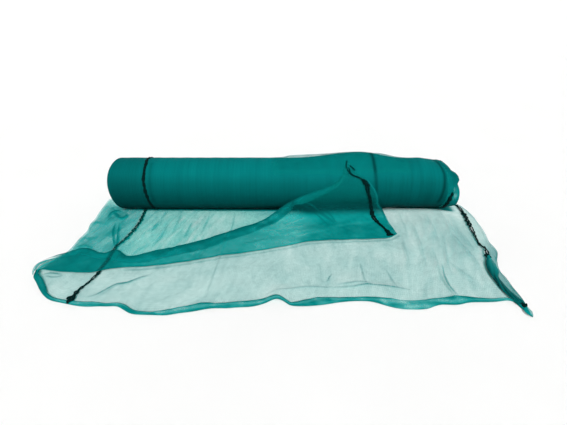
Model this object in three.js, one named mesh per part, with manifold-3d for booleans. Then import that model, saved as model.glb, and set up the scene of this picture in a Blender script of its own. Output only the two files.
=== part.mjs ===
// Roll of scaffold netting with one end drawn out over the floor.
// The net is folded once along its length, so the drawn-out end has a lower layer,
// a fold at the left and an upper layer. The upper layer is turned back along a
// slanting line, and the flap this makes climbs the front of the roll.
// Millimetres: X along the roll, Y away from the drawn-out end, Z up.
// The origin is the middle of the flat spot that the roll rests on.

import * as THREE from "three";
import { mergeVertices } from "three/addons/utils/BufferGeometryUtils.js";
import Module from "manifold-3d";

const wasm = await Module();
wasm.setup();

const { clamp, degToRad, lerp, radToDeg, smoothstep } = THREE.MathUtils;

// Wound roll: ends at plus and minus half its length, angles from the front, upwards.
const ROLL_LENGTH = 998;
const ROLL_RADIUS = 77.5;
const ROLL_SIDES = 40;
const BODY_STATIONS = 18;
const RIM_STEPS = 4;
const FLAT_SPOT_WIDTH = 32;
const LEFT_RIM = 20;
const RIGHT_RIM = 32;
const END_HOLLOW = { radius: 13, depth: 9, lip: 2 };
const SLACK = { start: -20, peak: 225, end: 352, angle: 112, spread: 62, height: 17 };
const DROOP = { start: 430, end: 499, angle: 88, spread: 75, depth: 17 };
const AXIS_HEIGHT = Math.sqrt(ROLL_RADIUS ** 2 - (FLAT_SPOT_WIDTH / 2) ** 2);

// Net layers of the drawn-out end: thickness, and the height of each layer's underside.
const NET = 1.4;
const HEM_EXTRA = 1.7;
const HEM_WIDTH = 20;
const UPPER_LAYER = 3.9;
const FLAP_LAYER = 6.4;
const FLAP_CLEARANCE = 2.0;
const FOLD_INSET = 0.1;
const FLAP_BEND = 28;
const FLAP_LEAN = degToRad(8);
const LOWER_GRID = { columns: 46, rows: 13 };
const UPPER_GRID = { columns: 32, rows: 6 };
const FLAP_GRID = { columns: 38, rows: 14 };
const ROW_EASE = 1.4;

// Eyelet tapes.
const TAPE = 1.4;
const TAPE_WIDTH = 8.5;
const TAPE_EYELET_WIDTH = 17;
const TAPE_STEP = 12;
const TAPE_GAP = 0.6;
const FLAP_TAPE_GAP = 2.0;
const EYELET = { length: 24, width: 8.8 };
const EYELET_PITCH = 100;
const PUNCH_DEPTH = 16;

// Edges of the layers on the floor, front to rear or left to right.
const LEFT_FOLD = [
  { x: -622, y: -296 },
  { x: -616, y: -272 },
  { x: -590, y: -252 },
  { x: -572, y: -226 },
  { x: -567, y: -180 },
  { x: -563, y: -120 },
  { x: -558, y: -60 },
  { x: -553, y: -20 },
  { x: -540, y: 4 },
  { x: -516, y: 13 },
];
const LOWER_FRONT = [
  { x: -622, y: -296 },
  { x: -612, y: -322 },
  { x: -586, y: -345 },
  { x: -558, y: -373 },
  { x: -520, y: -391 },
  { x: -470, y: -402 },
  { x: -400, y: -403 },
  { x: -330, y: -424 },
  { x: -262, y: -427 },
  { x: -170, y: -410 },
  { x: -60, y: -399 },
  { x: -12, y: -383 },
  { x: 12, y: -400 },
  { x: 75, y: -402 },
  { x: 170, y: -383 },
  { x: 228, y: -401 },
  { x: 310, y: -412 },
  { x: 362, y: -397 },
  { x: 440, y: -393 },
  { x: 527, y: -388 },
  { x: 538, y: -412 },
  { x: 547, y: -436 },
];
const LOWER_RIGHT = [
  { x: 547, y: -436 },
  { x: 553, y: -395 },
  { x: 549, y: -352 },
  { x: 545, y: -290 },
  { x: 552, y: -265 },
  { x: 571, y: -225 },
  { x: 566, y: -190 },
  { x: 572, y: -145 },
  { x: 573, y: -75 },
  { x: 567, y: -38 },
  { x: 552, y: -6 },
  { x: 516, y: 10 },
];
const LOWER_REAR = [
  { x: -516, y: 13 },
  { x: -497, y: -10 },
  { x: -470, y: -30 },
  { x: -420, y: -31 },
  { x: 420, y: -31 },
  { x: 470, y: -30 },
  { x: 497, y: -12 },
  { x: 516, y: 10 },
];
const UPPER_REAR = [
  { x: -516, y: 13 },
  { x: -502, y: -14 },
  { x: -480, y: -40 },
  { x: -430, y: -42 },
  { x: 250, y: -42 },
  { x: 301, y: -42 },
];
const UPPER_RIGHT = [
  { x: 321, y: -150 },
  { x: 309, y: -112 },
  { x: 308, y: -70 },
  { x: 301, y: -42 },
];
const TURN_LINE = [
  { x: -622, y: -296 },
  { x: -560, y: -302 },
  { x: -475, y: -303 },
  { x: -430, y: -288 },
  { x: -317, y: -274 },
  { x: -175, y: -240 },
  { x: 7, y: -204 },
  { x: 71, y: -183 },
  { x: 157, y: -176 },
  { x: 287, y: -167 },
  { x: 321, y: -150 },
];

// Edges of the flap. On the floor y is as above, and it runs on up the front of the roll.
const FLAP_LEFT = [
  { x: -622, y: -296 },
  { x: -616, y: -272 },
];
const FLAP_END = [
  { x: -616, y: -272 },
  { x: -580, y: -240 },
  { x: -531, y: -218 },
  { x: -473, y: -238 },
  { x: -443, y: -225 },
  { x: -404, y: -243 },
  { x: -356, y: -221 },
  { x: -285, y: -194 },
  { x: -193, y: -160 },
  { x: -97, y: -122 },
  { x: -59, y: -98 },
  { x: -26, y: -75 },
  { x: 15, y: -39 },
  { x: 57, y: -20 },
  { x: 107, y: -1 },
  { x: 146, y: 16 },
  { x: 161, y: 31 },
  { x: 172, y: 54 },
  { x: 181, y: 82 },
  { x: 196, y: 58 },
  { x: 214, y: 43 },
  { x: 236, y: 27 },
  { x: 256, y: 4 },
  { x: 271, y: -22 },
];
const FLAP_RIGHT = [
  { x: 321, y: -150 },
  { x: 307, y: -107 },
  { x: 290, y: -65 },
  { x: 277, y: -44 },
  { x: 271, y: -22 },
];

// Soft ridges of the net on the floor, each along one line.
const RIDGES = [
  { x: -522, y: -50, toX: -482, toY: -90, height: 3, width: 34 },
  { x: -372, y: -177, toX: -345, toY: -105, height: 3, width: 34 },
  { x: -152, y: -80, toX: -178, toY: -385, height: 2.5, width: 34 },
  { x: -618, y: -285, toX: -600, toY: -300, height: 4, width: 36 },
  { x: -12, y: -372, toX: -12, toY: -392, height: 8, width: 24 },
  { x: 149, y: -335, toX: 272, toY: -357, height: 5, width: 22 },
  { x: 352, y: -205, toX: 302, toY: -300, height: 5, width: 24 },
  { x: 424, y: -70, toX: 390, toY: -284, height: 7, width: 26 },
  { x: 482, y: -60, toX: 470, toY: -245, height: 6, width: 24 },
  { x: 396, y: -298, toX: 404, toY: -372, height: 6, width: 24 },
];

// Puffs of the flap where it gathers on its way up the roll.
const FLAP_PUFFS = [
  { x: 20, y: -45, height: 7, width: 30 },
  { x: 120, y: -70, height: 4, width: 40 },
  { x: 205, y: -20, height: 5, width: 34 },
];

// Paths of the tapes on the floor and up the flap, and the margin turned in over one of them.
const MIDDLE_PATH = [
  { x: -426, y: -38 },
  { x: -424, y: -78 },
  { x: -426, y: -131 },
  { x: -438, y: -175 },
  { x: -451, y: -211 },
  { x: -450, y: -250 },
  { x: -455, y: -284 },
  { x: -468, y: -325 },
  { x: -482, y: -352 },
  { x: -487, y: -372 },
];
const EDGE_PATH = [
  { x: 549, y: -30 },
  { x: 549, y: -48 },
  { x: 546, y: -85 },
  { x: 541, y: -134 },
  { x: 536, y: -185 },
  { x: 541, y: -222 },
  { x: 531, y: -257 },
  { x: 520, y: -285 },
  { x: 517, y: -328 },
  { x: 521, y: -356 },
];
const FLAP_PATH = [
  { x: 298, y: -150 },
  { x: 290, y: -136 },
  { x: 277, y: -113 },
  { x: 266, y: -95 },
  { x: 258, y: -71 },
  { x: 251, y: -38 },
  { x: 240, y: -7 },
  { x: 234, y: 14 },
  { x: 220, y: 28 },
  { x: 200, y: 36 },
  { x: 189, y: 46 },
  { x: 185, y: 60 },
];
const TURN_IN = [
  { x: 529, y: -262, toX: 545, toY: -268 },
  { x: 507, y: -285, toX: 536, toY: -287 },
  { x: 503, y: -328, toX: 534, toY: -328 },
  { x: 511, y: -362, toX: 540, toY: -356 },
];
const ROLL_TAPES = [
  { name: "tape_middle_roll", x: -398, from: -60, to: 238, firstEyelet: 70 },
  { name: "tape_edge_front", x: 481, from: -56, to: 8, firstEyelet: 42 },
  { name: "tape_edge_back", x: 481, from: 128, to: 236, firstEyelet: 48 },
];

const NET_COLOUR = 0x0b7f7c;
const TAPE_COLOUR = 0x10201f;

function bell(distance, spread) {
  const share = clamp(Math.abs(distance) / spread, 0, 1);
  return Math.cos((share * Math.PI) / 2) ** 2;
}

function rimDrop(distance, rim) {
  const inset = clamp(rim - distance, 0, rim);
  return rim - Math.sqrt(rim ** 2 - inset ** 2);
}

function bodyRadius(x) {
  const left = rimDrop(x + ROLL_LENGTH / 2, LEFT_RIM);
  const right = rimDrop(ROLL_LENGTH / 2 - x, RIGHT_RIM);
  return ROLL_RADIUS - left - right;
}

// How far the outer turns stand out or sink in at one place of the roll.
function looseness(x, angle) {
  const degrees = radToDeg(angle);
  const rise = smoothstep(x, SLACK.start, SLACK.peak) * (1 - smoothstep(x, SLACK.peak, SLACK.end));
  const slack = SLACK.height * rise * bell(degrees - SLACK.angle, SLACK.spread);
  const sink = smoothstep(x, DROOP.start, DROOP.end) * bell(degrees - DROOP.angle, DROOP.spread);
  return slack - DROOP.depth * sink;
}

function rollRadius(x, angle) {
  const radius = bodyRadius(x);
  return radius + looseness(x, angle) * (radius / ROLL_RADIUS) ** 2;
}

function onRoll(x, angle, radius) {
  const y = -radius * Math.cos(angle);
  const z = AXIS_HEIGHT + radius * Math.sin(angle);
  return new THREE.Vector3(x, y, z);
}

function rollProfile() {
  const half = ROLL_LENGTH / 2;
  const points = [];
  points.push(new THREE.Vector2(0, END_HOLLOW.depth - half));
  points.push(new THREE.Vector2(END_HOLLOW.radius, END_HOLLOW.lip - half));
  for (let step = 0; step < RIM_STEPS; step += 1) {
    const turn = ((step / RIM_STEPS) * Math.PI) / 2;
    const radius = ROLL_RADIUS - LEFT_RIM + LEFT_RIM * Math.sin(turn);
    points.push(new THREE.Vector2(radius, LEFT_RIM * (1 - Math.cos(turn)) - half));
  }
  for (let station = 0; station <= BODY_STATIONS; station += 1) {
    const along = lerp(LEFT_RIM - half, half - RIGHT_RIM, station / BODY_STATIONS);
    points.push(new THREE.Vector2(ROLL_RADIUS, along));
  }
  for (let step = RIM_STEPS - 1; step >= 0; step -= 1) {
    const turn = ((step / RIM_STEPS) * Math.PI) / 2;
    const radius = ROLL_RADIUS - RIGHT_RIM + RIGHT_RIM * Math.sin(turn);
    points.push(new THREE.Vector2(radius, half - RIGHT_RIM * (1 - Math.cos(turn))));
  }
  points.push(new THREE.Vector2(END_HOLLOW.radius, half - END_HOLLOW.lip));
  points.push(new THREE.Vector2(0, half - END_HOLLOW.depth));
  return points;
}

function rollGeometry() {
  const geometry = new THREE.LatheGeometry(rollProfile(), ROLL_SIDES);
  const position = geometry.attributes.position;
  for (let i = 0; i < position.count; i += 1) {
    const x = position.getY(i);
    const radius = Math.hypot(position.getX(i), position.getZ(i));
    const angle = Math.atan2(position.getX(i), -position.getZ(i));
    const share = (radius / ROLL_RADIUS) ** 2;
    const point = onRoll(x, angle, radius + looseness(x, angle) * share);
    position.setXYZ(i, point.x, point.y, Math.max(point.z, 0));
  }
  return geometry;
}

function solid(geometry) {
  geometry.deleteAttribute("normal");
  geometry.deleteAttribute("uv");
  const merged = mergeVertices(geometry);
  const vertProperties = Float32Array.from(merged.attributes.position.array);
  const triVerts = Uint32Array.from(merged.index.array);
  const mesh = new wasm.Mesh({ numProp: 3, vertProperties, triVerts });
  return new wasm.Manifold(mesh);
}

function curve(rows) {
  const points = rows.map((row) => new THREE.Vector3(row.x, row.y, 0));
  return new THREE.CatmullRomCurve3(points, false, "centripetal");
}

// A point of a patch between four edges: u runs left to right and v front to rear.
function patchPoint(patch, u, v) {
  const front = patch.front.getPointAt(u);
  const rear = patch.rear.getPointAt(u);
  const left = patch.left.getPointAt(v);
  const right = patch.right.getPointAt(v);
  const nearCorners = new THREE.Vector3().lerpVectors(patch.front.getPointAt(0), patch.front.getPointAt(1), u);
  const farCorners = new THREE.Vector3().lerpVectors(patch.rear.getPointAt(0), patch.rear.getPointAt(1), u);
  const lengthwise = new THREE.Vector3().lerpVectors(front, rear, v);
  const crosswise = new THREE.Vector3().lerpVectors(left, right, u);
  const corners = nearCorners.lerp(farCorners, v);
  return lengthwise.add(crosswise).sub(corners);
}

function ground(x, y) {
  const point = new THREE.Vector3(x, y, 0);
  const nearest = new THREE.Vector3();
  let height = 0;
  for (const row of RIDGES) {
    const line = new THREE.Line3(new THREE.Vector3(row.x, row.y, 0), new THREE.Vector3(row.toX, row.toY, 0));
    line.closestPointToPoint(point, true, nearest);
    height += row.height * Math.exp(-((nearest.distanceTo(point) / row.width) ** 2));
  }
  return height;
}

function onFloor(x, y, height) {
  return new THREE.Vector3(x, y, ground(x, y) + height);
}

// The flap's way: along the floor, round a bend, up to the roll and over its front.
function onFlap(x, s, height) {
  const radius = ROLL_RADIUS + FLAP_CLEARANCE;
  const touch = onRoll(x, FLAP_LEAN, radius);
  const rise = (touch.z - FLAP_LAYER) / Math.cos(FLAP_LEAN);
  const offset = FLAP_BEND * Math.tan((Math.PI / 2 - FLAP_LEAN) / 2);
  const bendStart = touch.y - rise * Math.sin(FLAP_LEAN) - offset;
  const bendEnd = bendStart + FLAP_BEND * (Math.PI / 2 - FLAP_LEAN);
  const rollStart = bendEnd + rise - offset;
  if (s < bendStart) {
    return onFloor(x, s, FLAP_LAYER + height);
  }
  if (s < bendEnd) {
    const turn = (s - bendStart) / FLAP_BEND;
    const inner = FLAP_BEND - height;
    const y = bendStart + inner * Math.sin(turn);
    return new THREE.Vector3(x, y, FLAP_LAYER + FLAP_BEND - inner * Math.cos(turn));
  }
  if (s < rollStart) {
    const below = rollStart - s;
    const y = touch.y - below * Math.sin(FLAP_LEAN) - height * Math.cos(FLAP_LEAN);
    const z = touch.z - below * Math.cos(FLAP_LEAN) + height * Math.sin(FLAP_LEAN);
    return new THREE.Vector3(x, y, z);
  }
  const angle = FLAP_LEAN + (s - rollStart) / radius;
  return onRoll(x, angle, rollRadius(x, angle) + FLAP_CLEARANCE + height);
}

function puff(x, s) {
  let height = 0;
  for (const row of FLAP_PUFFS) {
    height += row.height * Math.exp(-((Math.hypot(x - row.x, s - row.y) / row.width) ** 2));
  }
  return height;
}

function onPuffedFlap(x, s, height) {
  return onFlap(x, s, height + puff(x, s));
}

// A closed sheet: its place function gives a point for u, v and the lower or upper side.
function sheet(grid, place) {
  const geometry = new THREE.BoxGeometry(1, 1, 1, grid.columns, grid.rows, 1);
  const position = geometry.attributes.position;
  for (let i = 0; i < position.count; i += 1) {
    const u = clamp(position.getX(i) + 0.5, 0, 1);
    const v = clamp(position.getY(i) + 0.5, 0, 1);
    const side = position.getZ(i) > 0 ? 1 : 0;
    const point = place(u, v, side);
    position.setXYZ(i, point.x, point.y, point.z);
  }
  return solid(geometry);
}

// Thickness of a layer at one distance from its hemmed end.
function hemmed(distance) {
  return NET + HEM_EXTRA * (1 - smoothstep(distance, HEM_WIDTH * 0.6, HEM_WIDTH * 1.3));
}

// The round edge of a fold, which joins the layer below it to the layer above.
function foldEdge(rows, steps, bottom, top) {
  const points = curve(rows).getSpacedPoints(steps);
  const middle = points.map((point) => onFloor(point.x, point.y, (bottom + top) / 2));
  const round = new THREE.Shape();
  round.absarc(0, 0, (top - bottom) / 2 - FOLD_INSET, 0, Math.PI * 2);
  const extrudePath = new THREE.CatmullRomCurve3(middle, false, "centripetal");
  return solid(new THREE.ExtrudeGeometry(round, { steps, curveSegments: 3, bevelEnabled: false, extrudePath }));
}

function eyeletPlaces(length, first) {
  const places = [];
  for (let at = first; at < length - EYELET.length / 2; at += EYELET_PITCH) {
    places.push(at);
  }
  return places;
}

function acrossOf(tangent) {
  return new THREE.Vector3(tangent.y, -tangent.x, 0);
}

function tapeSolid(path, first, place, bottom) {
  const length = path.getLength();
  const eyelets = eyeletPlaces(length, first);
  const grid = { columns: 2, rows: Math.round(length / TAPE_STEP) };
  return sheet(grid, (u, v, side) => {
    const nearest = Math.min(...eyelets.map((at) => Math.abs(at - v * length)));
    const width = lerp(TAPE_WIDTH, TAPE_EYELET_WIDTH, bell(nearest, EYELET.length * 0.9));
    const point = path.getPointAt(v).addScaledVector(acrossOf(path.getTangentAt(v)), (u - 0.5) * width);
    return place(point.x, point.y, bottom + side * TAPE);
  });
}

// The lens-shaped punches for a tape's eyelets, standing square on the cloth.
function punches(path, first, place, bottom) {
  const length = path.getLength();
  const lens = new THREE.Shape();
  lens.moveTo(0, -EYELET.length / 2);
  lens.quadraticCurveTo(EYELET.width, 0, 0, EYELET.length / 2);
  lens.quadraticCurveTo(-EYELET.width, 0, 0, -EYELET.length / 2);
  return eyeletPlaces(length, first).map((at) => {
    const middle = path.getPointAt(at / length);
    const tangent = path.getTangentAt(at / length);
    const across = acrossOf(tangent);
    const centre = place(middle.x, middle.y, bottom);
    const ahead = place(middle.x + tangent.x, middle.y + tangent.y, bottom).sub(centre).normalize();
    const aside = place(middle.x + across.x, middle.y + across.y, bottom).sub(centre).normalize();
    const up = new THREE.Vector3().crossVectors(aside, ahead).normalize();
    aside.crossVectors(ahead, up);
    const geometry = new THREE.ExtrudeGeometry(lens, { depth: PUNCH_DEPTH, curveSegments: 5, bevelEnabled: false });
    geometry.translate(0, 0, -PUNCH_DEPTH / 2);
    geometry.applyMatrix4(new THREE.Matrix4().makeBasis(aside, ahead, up).setPosition(centre));
    return solid(geometry);
  });
}

function punched(body, cutters) {
  return cutters.reduce((rest, cutter) => rest.subtract(cutter), body);
}

function lowerLayer() {
  const patch = {
    front: curve(LOWER_FRONT),
    rear: curve(LOWER_REAR),
    left: curve(LEFT_FOLD),
    right: curve(LOWER_RIGHT),
  };
  return sheet(LOWER_GRID, (u, v, side) => {
    const share = v ** ROW_EASE;
    const point = patchPoint(patch, u, share);
    const distance = share * patchPoint(patch, u, 0).distanceTo(patchPoint(patch, u, 1));
    return onFloor(point.x, point.y, side * hemmed(distance));
  });
}

function upperLayer() {
  const patch = {
    front: curve(TURN_LINE),
    rear: curve(UPPER_REAR),
    left: curve(LEFT_FOLD),
    right: curve(UPPER_RIGHT),
  };
  return sheet(UPPER_GRID, (u, v, side) => {
    const point = patchPoint(patch, u, v);
    return onFloor(point.x, point.y, UPPER_LAYER + side * NET);
  });
}

function flapLayer() {
  const patch = {
    front: curve(TURN_LINE),
    rear: curve(FLAP_END),
    left: curve(FLAP_LEFT),
    right: curve(FLAP_RIGHT),
  };
  return sheet(FLAP_GRID, (u, v, side) => {
    const point = patchPoint(patch, u, v);
    const distance = (1 - v) * patchPoint(patch, u, 0).distanceTo(patchPoint(patch, u, 1));
    return onPuffedFlap(point.x, point.y, side * hemmed(distance));
  });
}

// The strip of the right margin that is turned in over the edge tape.
function turnedIn() {
  const inner = curve(TURN_IN);
  const outer = curve(TURN_IN.map((row) => ({ x: row.toX, y: row.toY })));
  return sheet({ columns: 2, rows: 6 }, (u, v, side) => {
    const point = inner.getPointAt(1 - v).lerp(outer.getPointAt(1 - v), u);
    return onFloor(point.x, point.y, UPPER_LAYER + side * NET);
  });
}

function looseEnd(tapes) {
  const [middle, edge, flap] = tapes;
  const lower = punched(punched(lowerLayer(), middle.cutters), edge.cutters);
  const outer = TURN_IN.map((row) => ({ x: row.toX, y: row.toY }));
  return punched(flapLayer(), flap.cutters)
    .add(foldEdge(TURN_LINE, 24, UPPER_LAYER, FLAP_LAYER + NET))
    .add(upperLayer())
    .add(foldEdge(LEFT_FOLD, 12, 0, UPPER_LAYER + NET))
    .add(lower)
    .add(foldEdge(outer, 6, 0, UPPER_LAYER + NET))
    .add(turnedIn());
}

function sheetTape(name, rows, first, place, gap) {
  const path = curve(rows);
  const bottom = NET + gap;
  const cutters = punches(path, first, place, bottom);
  return { name, cutters, body: punched(tapeSolid(path, first, place, bottom), cutters) };
}

function rollTape(row) {
  const radius = ROLL_RADIUS;
  const place = (x, s, height) => onRoll(x, s / radius, rollRadius(x, s / radius) + height);
  const start = new THREE.Vector3(row.x, degToRad(row.from) * radius, 0);
  const end = new THREE.Vector3(row.x, degToRad(row.to) * radius, 0);
  const path = new THREE.LineCurve3(start, end);
  const cutters = punches(path, row.firstEyelet, place, TAPE_GAP);
  return { name: row.name, body: punched(tapeSolid(path, row.firstEyelet, place, TAPE_GAP), cutters) };
}

function named(name, body, color, roughness) {
  const { vertProperties, triVerts } = body.getMesh();
  const geometry = new THREE.BufferGeometry();
  geometry.setAttribute("position", new THREE.BufferAttribute(Float32Array.from(vertProperties), 3));
  geometry.setIndex(new THREE.BufferAttribute(Uint32Array.from(triVerts), 1));
  geometry.computeVertexNormals();
  const mesh = new THREE.Mesh(geometry, new THREE.MeshStandardMaterial({ color, roughness }));
  mesh.name = name;
  return mesh;
}

const sheetTapes = [
  sheetTape("tape_middle_floor", MIDDLE_PATH, 88, onFloor, TAPE_GAP),
  sheetTape("tape_edge_floor", EDGE_PATH, 104, onFloor, TAPE_GAP),
  sheetTape("tape_flap", FLAP_PATH, 63, onPuffedFlap, FLAP_TAPE_GAP),
];

const netting = new THREE.Group();
netting.name = "scaffold_netting_roll";
netting.add(named("roll", solid(rollGeometry()), NET_COLOUR, 0.7));
netting.add(named("loose_end", looseEnd(sheetTapes), NET_COLOUR, 0.7));
for (const tape of sheetTapes) {
  netting.add(named(tape.name, tape.body, TAPE_COLOUR, 0.8));
}
for (const row of ROLL_TAPES) {
  const tape = rollTape(row);
  netting.add(named(tape.name, tape.body, TAPE_COLOUR, 0.8));
}

export default netting;
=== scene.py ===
"""Roll of scaffold netting, dressed: sheer knitted net, hems, eyelet tapes, floor, light and camera.

Points and heights below are in millimetres, as in the part's source, and become metres in grid_mesh.
"""

import math

import bpy
import numpy as np
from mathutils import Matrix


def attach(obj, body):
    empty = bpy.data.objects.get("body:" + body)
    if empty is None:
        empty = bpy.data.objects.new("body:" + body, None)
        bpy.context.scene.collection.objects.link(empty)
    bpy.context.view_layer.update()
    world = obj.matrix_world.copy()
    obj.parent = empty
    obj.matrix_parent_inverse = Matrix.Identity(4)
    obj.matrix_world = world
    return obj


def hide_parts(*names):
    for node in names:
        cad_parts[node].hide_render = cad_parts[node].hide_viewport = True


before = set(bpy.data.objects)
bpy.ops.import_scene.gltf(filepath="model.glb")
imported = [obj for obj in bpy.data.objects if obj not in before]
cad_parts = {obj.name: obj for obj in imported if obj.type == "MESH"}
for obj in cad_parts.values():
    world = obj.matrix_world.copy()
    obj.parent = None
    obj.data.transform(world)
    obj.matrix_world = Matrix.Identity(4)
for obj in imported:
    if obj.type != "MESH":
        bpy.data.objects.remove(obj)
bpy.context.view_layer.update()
scene = bpy.context.scene
MM = 0.001

# Sizes of the roll, the layers and the tapes.

ROLL_LENGTH = 998.0
HALF_LENGTH = ROLL_LENGTH / 2
ROLL_RADIUS = 77.5
FLAT_HALF = 16.0
AXIS_HEIGHT = math.sqrt(ROLL_RADIUS**2 - FLAT_HALF**2)
LEFT_RIM = 12.0
RIGHT_RIM = 32.0
TURN_PITCH = 3.3
CORE_DEPTH = 7.0
CORE_RADIUS = 9.0
SLACK = dict(start=-20, peak=225, end=368, angle=112, spread=62, height=17)
DROOP = dict(start=400, end=499, angle=88, spread=75, depth=17)
LIFTED = dict(start=285, end=345, angle=-55, spread=60, height=4.5)

LOWER_MID = 0.7
UPPER_MID = 4.6
FLAP_LAYER = 6.4
FLAP_MID = 0.7
FLAP_CLEARANCE = 2.0
FLAP_BEND = 28.0
FLAP_LEAN = math.radians(8)
TURN_BULGE = 2.2
HEM_PUFF = 1.2
SLEEVE_START = 466.0
SLEEVE_DEPTH = 16.0

EYELET_LENGTH = 24.0
EYELET_WIDTH = 4.6
EYELET_PITCH = 100.0
STRAND_HALF_WIDTH = 2.3
STRAND_HALF_HEIGHT = 0.95
STRAND_APART = 1.6
STRAND_SIDES = 10
SIDE_WIDTH = 1.1
TWIST_LENGTH = 17.0
STITCH_LENGTH = 9.4
TAPE_STEP = 1.3
FLOOR_TAPE_BASE = 1.6
FLAP_TAPE_BASE = 2.4

# How densely plain net covers what lies behind it, and net that lies against the roll.
PLAIN_COVER = 0.33
FULL_COVER = 0.97

# Corners and edges of the layers and ways of the tapes, seen from above.

LEFT_CORNER = (-622, -296)
TIP_CORNER = (-616, -272)
REAR_LEFT = (-544, 32)
REAR_RIGHT = (516, 10)
TAIL_CORNER = (547, -436)
TURN_CORNER = (319, -158)
UPPER_CORNER = (301, -34)
FLAP_CORNER = (271, -22)
LEFT_FOLD = [
    LEFT_CORNER, TIP_CORNER, (-590, -252), (-573, -226), (-566, -180), (-559, -150), (-563, -118),
    (-560, -88), (-562, -50), (-561, -15), (-560, 14), REAR_LEFT,
]
LOWER_FRONT = [
    LEFT_CORNER, (-616, -317), (-600, -335), (-576, -361), (-559, -376), (-541, -387), (-515, -394),
    (-473, -404), (-406, -406), (-379, -406), (-341, -425), (-313, -429), (-262, -430), (-231, -425),
    (-155, -412), (-116, -410), (-72, -406), (-43, -399), (-17, -391), (1, -396), (15, -404), (49, -406),
    (83, -403), (130, -394), (166, -390), (200, -392), (217, -397), (241, -406), (274, -414), (324, -412),
    (344, -405), (360, -401), (398, -402), (428, -396), (487, -393), (527, -392), (538, -413), TAIL_CORNER,
]
LOWER_RIGHT = [
    TAIL_CORNER, (553, -395), (549, -352), (545, -290), (552, -265), (571, -225), (566, -190), (572, -145),
    (573, -75), (567, -38), (552, -6), REAR_RIGHT,
]
LOWER_REAR = [
    REAR_LEFT, (-518, 8), (-497, -10), (-470, -28), (-420, -28), (310, -28), (380, -16), (470, -14),
    (497, -6), REAR_RIGHT,
]
UPPER_REAR = [REAR_LEFT, (-518, 4), (-502, -14), (-480, -33), (-430, -34), (250, -34), UPPER_CORNER]
UPPER_RIGHT = [TURN_CORNER, (311, -112), (308, -70), UPPER_CORNER]
TURN_LINE = [
    LEFT_CORNER, (-560, -302), (-475, -303), (-430, -290), (-317, -279), (-175, -249), (7, -207), (71, -188),
    (157, -181), (230, -177), (294, -172), TURN_CORNER,
]
FLAP_LEFT = [LEFT_CORNER, TIP_CORNER]
FLAP_END = [
    TIP_CORNER, (-580, -240), (-531, -218), (-473, -238), (-443, -225), (-404, -249), (-356, -234),
    (-285, -209), (-193, -171), (-97, -118), (-59, -98), (-26, -75), (15, -39), (57, -20), (107, -1),
    (146, 16), (161, 31), (172, 54), (181, 82), (196, 58), (214, 43), (236, 27), (256, 4), FLAP_CORNER,
]
FLAP_RIGHT = [TURN_CORNER, (309, -112), (290, -65), (277, -44), FLAP_CORNER]
MIDDLE_PATH = [
    (-426, -38), (-424, -78), (-426, -131), (-438, -175), (-451, -211), (-450, -250), (-455, -284),
    (-468, -325), (-482, -352), (-489, -380), (-492, -397),
]
EDGE_PATH = [
    (545, -12), (549, -30), (549, -48), (546, -85), (541, -134), (536, -185), (541, -222), (531, -257),
    (520, -285), (517, -328), (523, -360), (536, -386), (549, -406),
]
FLAP_PATH = [
    (298, -169), (290, -140), (277, -113), (266, -95), (258, -71), (251, -38), (240, -7), (234, 14),
    (220, 28), (200, 36), (189, 46), (185, 60),
]
HOOK = [(183, 80), (180, 63), (186, 45), (196, 37), (212, 31), (226, 24)]
LOOP = [(190, 66), (197, 60), (204, 52)]
TAIL = [(549, -410), (546, -417), (545, -425), (547, -434)]
TURN_IN_INNER = [(531, -248), (516, -277), (511, -300), (511, -322), (515, -354), (523, -384), (533, -405)]
TURN_IN_OUTER = [(540, -246), (541, -277), (541, -296), (530, -320), (532, -344), (539, -368), (549, -394)]
WISPS = [
    [(-616, -309), (-617, -285), (-604, -272), (-583, -262)],
    [(-610, -308), (-605, -294), (-595, -280), (-580, -268)],
    [(-612, -320), (-620, -302), (-620, -286), (-609, -274), (-590, -264)],
]

# Ways of the tapes on the roll, and the end of its right margin: angle in degrees and x.
RING = [
    (-60, -389), (-20, -390), (1, -393), (22, -396), (49, -397), (71, -398), (101, -400), (150, -399),
    (238, -397),
]
FRONT_BIT = [(-38, 482), (-28, 482), (-17, 482.5), (-4, 484), (12, 487)]
BACK_BIT = [(128, 481), (236, 481)]
SLEEVE_END = [
    (-86, 480), (-70, 496), (-55, 510), (-45, 516), (-30, 518), (-10, 515), (20, 503), (30, 500), (40, 508),
    (50, 507), (60, 501), (70, 491), (85, 479), (100, 470), (140, 480), (180, 498), (215, 506), (240, 500),
    (266, 480),
]

# Painted shade of the roll by angle, its tone along x, and its marks: line of angle and x, width and
# darkness.
ROLL_PAINTED_SHADE = [
    (-90, 0.1), (-40, 0.13), (-20, 0.3), (0, 0.37), (30, 0.58), (50, 0.83), (60, 0.88), (140, 0.95),
    (170, 0.8), (230, 0.25), (270, 0.1),
]
ROLL_TONE = [
    (-499, 0.68), (-405, 0.72), (-385, 0.90), (-310, 0.98), (0, 1.0), (220, 1.0), (300, 0.92), (499, 0.90),
]
ROLL_MARKS = [
    ([(15, 266), (34, 263), (56, 262), (76, 260), (106, 259)], 5.5, 0.55),
    ([(-16, 452), (15, 457), (32, 459), (50, 461), (69, 460), (87, 457), (110, 450)], 5.0, 0.70),
    ([(-10, -386), (20, -388), (49, -389), (80, -390)], 2.5, -0.12),
    ([(-10, -377), (20, -380), (49, -381), (80, -382)], 6.0, 0.25),
]

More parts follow.
